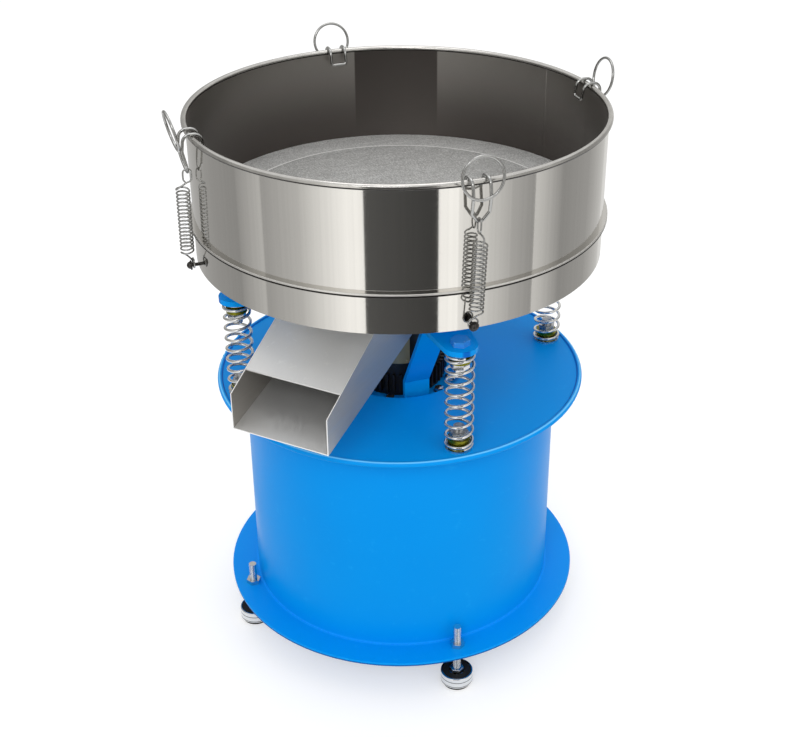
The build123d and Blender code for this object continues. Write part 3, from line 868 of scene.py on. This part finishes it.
buildFootRubbers()


# lock nut that holds each foot's stud in its cup
footNut = dict(circle=0.260, flats=0.0185, height=0.006, seat=0.0232, chamfer=0.0008)


def buildFootNuts():
    s = footNut
    place = (s["circle"], 0, s["seat"] + s["height"] / 2)
    model = hexNut("footLockNut1", s["flats"], s["height"], place, s["chamfer"])
    model.data.materials.append(materials["bright_zinc"])
    for number, degrees in enumerate(armAngles, start=1):
        nut = model if number == 1 else copyTurned(model, f"footLockNut{number}", degrees)
        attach(nut, "stand")


buildFootNuts()
print("small fasteners made")


# cards round the machine that the polished wall mirrors
stageCards = dict(radius=1.3, height=1.6, low=0.002, around=720, tint=(1, 0.99, 0.965, 1), streaks=60.0,
                  streakLevels=(0.95, 1.04))
# each from and to which angle, and how bright at its two edges
stageCards["bands"] = [
    (-285, -237, 0.62, 0.45), (-237, -217, 0.44, 0.38), (-217, -195, 0.38, 0.34), (-195, -178, 0.38, 0.62),
    (-178, -157, 0.43, 0.62), (-157, -134, 0.63, 1.24), (-134, -124.9, 1.26, 1.29), (-124.9, -90.5, 0.11, 0.06),
    (-90.5, -81, 1.24, 1.29), (-81, -54, 1.05, 0.58), (-54, -40, 0.54, 0.39), (-40, -21.5, 0.78, 0.38),
    (-21.5, 5, 0.35, 0.42), (5, 29, 0.44, 0.68), (29, 75, 0.8, 0.7)]


def cardMaterial(start, stop, fromLevel, toLevel):
    # light that grows or fades evenly from one edge of the card to the other
    s = stageCards
    material = bpy.data.materials.new(f"card{start}")
    material.use_nodes = True
    tree = material.node_tree
    tree.nodes.clear()
    place = tree.nodes.new("ShaderNodeTexCoord").outputs["Object"]
    middle = tree.nodes.new("ShaderNodeMapping")   # the card's middle turned onto +X
    middle.inputs["Rotation"].default_value = (0, 0, -math.radians((start + stop) / 2))
    tree.links.new(place, middle.inputs["Vector"])
    split = splitPlace(tree, middle.outputs["Vector"])
    angle = mathNode(tree, "ARCTAN2", split["Y"], split["X"])
    level = tree.nodes.new("ShaderNodeMapRange")
    half = math.radians((stop - start) / 2)
    for label, value in (("From Min", -half), ("From Max", half), ("To Min", fromLevel), ("To Max", toLevel)):
        level.inputs[label].default_value = value
    tree.links.new(angle, level.inputs["Value"])
    streaks = tree.nodes.new("ShaderNodeTexNoise")
    streaks.noise_dimensions = "1D"
    streaks.inputs["Scale"].default_value = s["streaks"]
    tree.links.new(angle, streaks.inputs["W"])
    streak = rangeNode(tree, streaks.outputs["Fac"], *noiseSpan, *s["streakLevels"])
    glow = tree.nodes.new("ShaderNodeEmission")
    glow.inputs["Color"].default_value = s["tint"]
    tree.links.new(mathNode(tree, "MULTIPLY", level.outputs["Result"], streak), glow.inputs["Strength"])
    end = tree.nodes.new("ShaderNodeOutputMaterial")
    tree.links.new(glow.outputs[0], end.inputs["Surface"])
    return material


def buildCards():
    s = stageCards
    tools = bpy.context.tool_settings
    for start, stop, fromLevel, toLevel in s["bands"]:
        deselectAll()
        tools.mesh_select_mode = (True, False, False)
        bpy.ops.mesh.primitive_circle_add(vertices=s["around"], radius=s["radius"], location=(0, 0, s["low"]))
        card = bpy.context.object
        card.name = f"card{start}"
        bpy.ops.object.mode_set(mode="EDIT")
        bpy.ops.mesh.select_all(action="SELECT")
        bpy.ops.mesh.extrude_region_move(TRANSFORM_OT_translate={"value": (0, 0, s["height"])})
        bpy.ops.mesh.select_all(action="DESELECT")
        bpy.ops.object.mode_set(mode="OBJECT")
        for face in card.data.polygons:   # all of the ring but this card's stretch
            degrees = math.degrees(math.atan2(face.center.y, face.center.x))
            face.select = (degrees - start) % 360 > (stop - start)
        tools.mesh_select_mode = (False, False, True)
        bpy.ops.object.mode_set(mode="EDIT")
        bpy.ops.mesh.delete(type="FACE")
        bpy.ops.object.mode_set(mode="OBJECT")
        card.data.materials.append(cardMaterial(start, stop, fromLevel, toLevel))
        card.visible_camera = False
        card.visible_diffuse = False
        card.visible_shadow = False
        card.visible_transmission = False
        card.visible_volume_scatter = False


buildCards()


# floor and world, both white where the camera, gloss or glass sees them
studio = dict(floorSize=40, floorTone=0.65, floorGlow=0.45, worldLight=0.87, worldSeen=0.13)


def seenMask(tree):
    rays = tree.nodes.new("ShaderNodeLightPath").outputs
    seen = mathNode(tree, "MAXIMUM", rays["Is Camera Ray"], rays["Is Glossy Ray"])
    return mathNode(tree, "MAXIMUM", seen, rays["Is Transmission Ray"])


def buildFloor():
    s = studio
    deselectAll()
    bpy.ops.mesh.primitive_plane_add(size=s["floorSize"], location=(0, 0, 0))
    floor = bpy.context.object
    floor.name = "studioFloor"
    material = bpy.data.materials.new("studioFloor")
    material.use_nodes = True
    tree = material.node_tree
    tree.nodes.clear()
    end = tree.nodes.new("ShaderNodeOutputMaterial")
    glow = tree.nodes.new("ShaderNodeEmission")
    glow.inputs["Color"].default_value = (1, 1, 1, 1)
    tree.links.new(mathNode(tree, "MULTIPLY", seenMask(tree), s["floorGlow"]), glow.inputs["Strength"])
    diffuse = tree.nodes.new("ShaderNodeBsdfDiffuse")
    diffuse.inputs["Color"].default_value = (s["floorTone"], s["floorTone"], s["floorTone"], 1)
    both = tree.nodes.new("ShaderNodeAddShader")
    tree.links.new(glow.outputs[0], both.inputs[0])
    tree.links.new(diffuse.outputs[0], both.inputs[1])
    tree.links.new(both.outputs[0], end.inputs["Surface"])
    floor.data.materials.append(material)


def buildWorld():
    world = bpy.data.worlds.new("studio")
    scene.world = world
    world.use_nodes = True
    tree = world.node_tree
    background = tree.nodes["Background"]
    seen = mathNode(tree, "MULTIPLY", seenMask(tree), studio["worldSeen"])
    background.inputs["Color"].default_value = (1, 1, 1, 1)
    tree.links.new(mathNode(tree, "ADD", seen, studio["worldLight"]), background.inputs["Strength"])


buildFloor()
buildWorld()

lampTarget = (0, 0, 0.45)
lamps = [
    dict(name="key", place=(-1.5, -2.8, 2.5), size=2.0, power=38),
    dict(name="fill", place=(1.8, -2.6, 2.0), size=2.4, power=8),
    dict(name="top", place=(0.2, 0.6, 3.6), size=2.0, power=15),
]


def buildLamps():
    for s in lamps:
        light = bpy.data.lights.new(s["name"], "AREA")
        light.shape = "DISK"
        light.size = s["size"]
        light.energy = s["power"]
        lamp = bpy.data.objects.new(s["name"], light)
        scene.collection.objects.link(lamp)
        lamp.location = s["place"]
        lamp.rotation_euler = (Vector(lampTarget) - Vector(s["place"])).to_track_quat("-Z", "Y").to_euler()


buildLamps()

# camera at the photograph's angle
view = dict(place=(-0.5951, -1.7282, 1.4696), heading=70.43, down=28.963, roll=-0.300, lens=60.60, sensor=36,
            shiftX=-0.02254, shiftY=-0.02133)


def buildCamera():
    camera = bpy.data.cameras.new("camera")
    camera.sensor_width = view["sensor"]
    camera.lens = view["lens"]
    camera.shift_x = view["shiftX"]
    camera.shift_y = view["shiftY"]
    holder = bpy.data.objects.new("camera", camera)
    scene.collection.objects.link(holder)
    turn = (Matrix.Rotation(math.radians(view["heading"] - 90), 3, "Z")
            @ Matrix.Rotation(math.radians(90 - view["down"]), 3, "X")
            @ Matrix.Rotation(math.radians(view["roll"]), 3, "Z"))
    holder.location = view["place"]
    holder.rotation_euler = turn.to_euler()
    scene.camera = holder


buildCamera()
scene.view_settings.view_transform = "Standard"

print("stage ready")
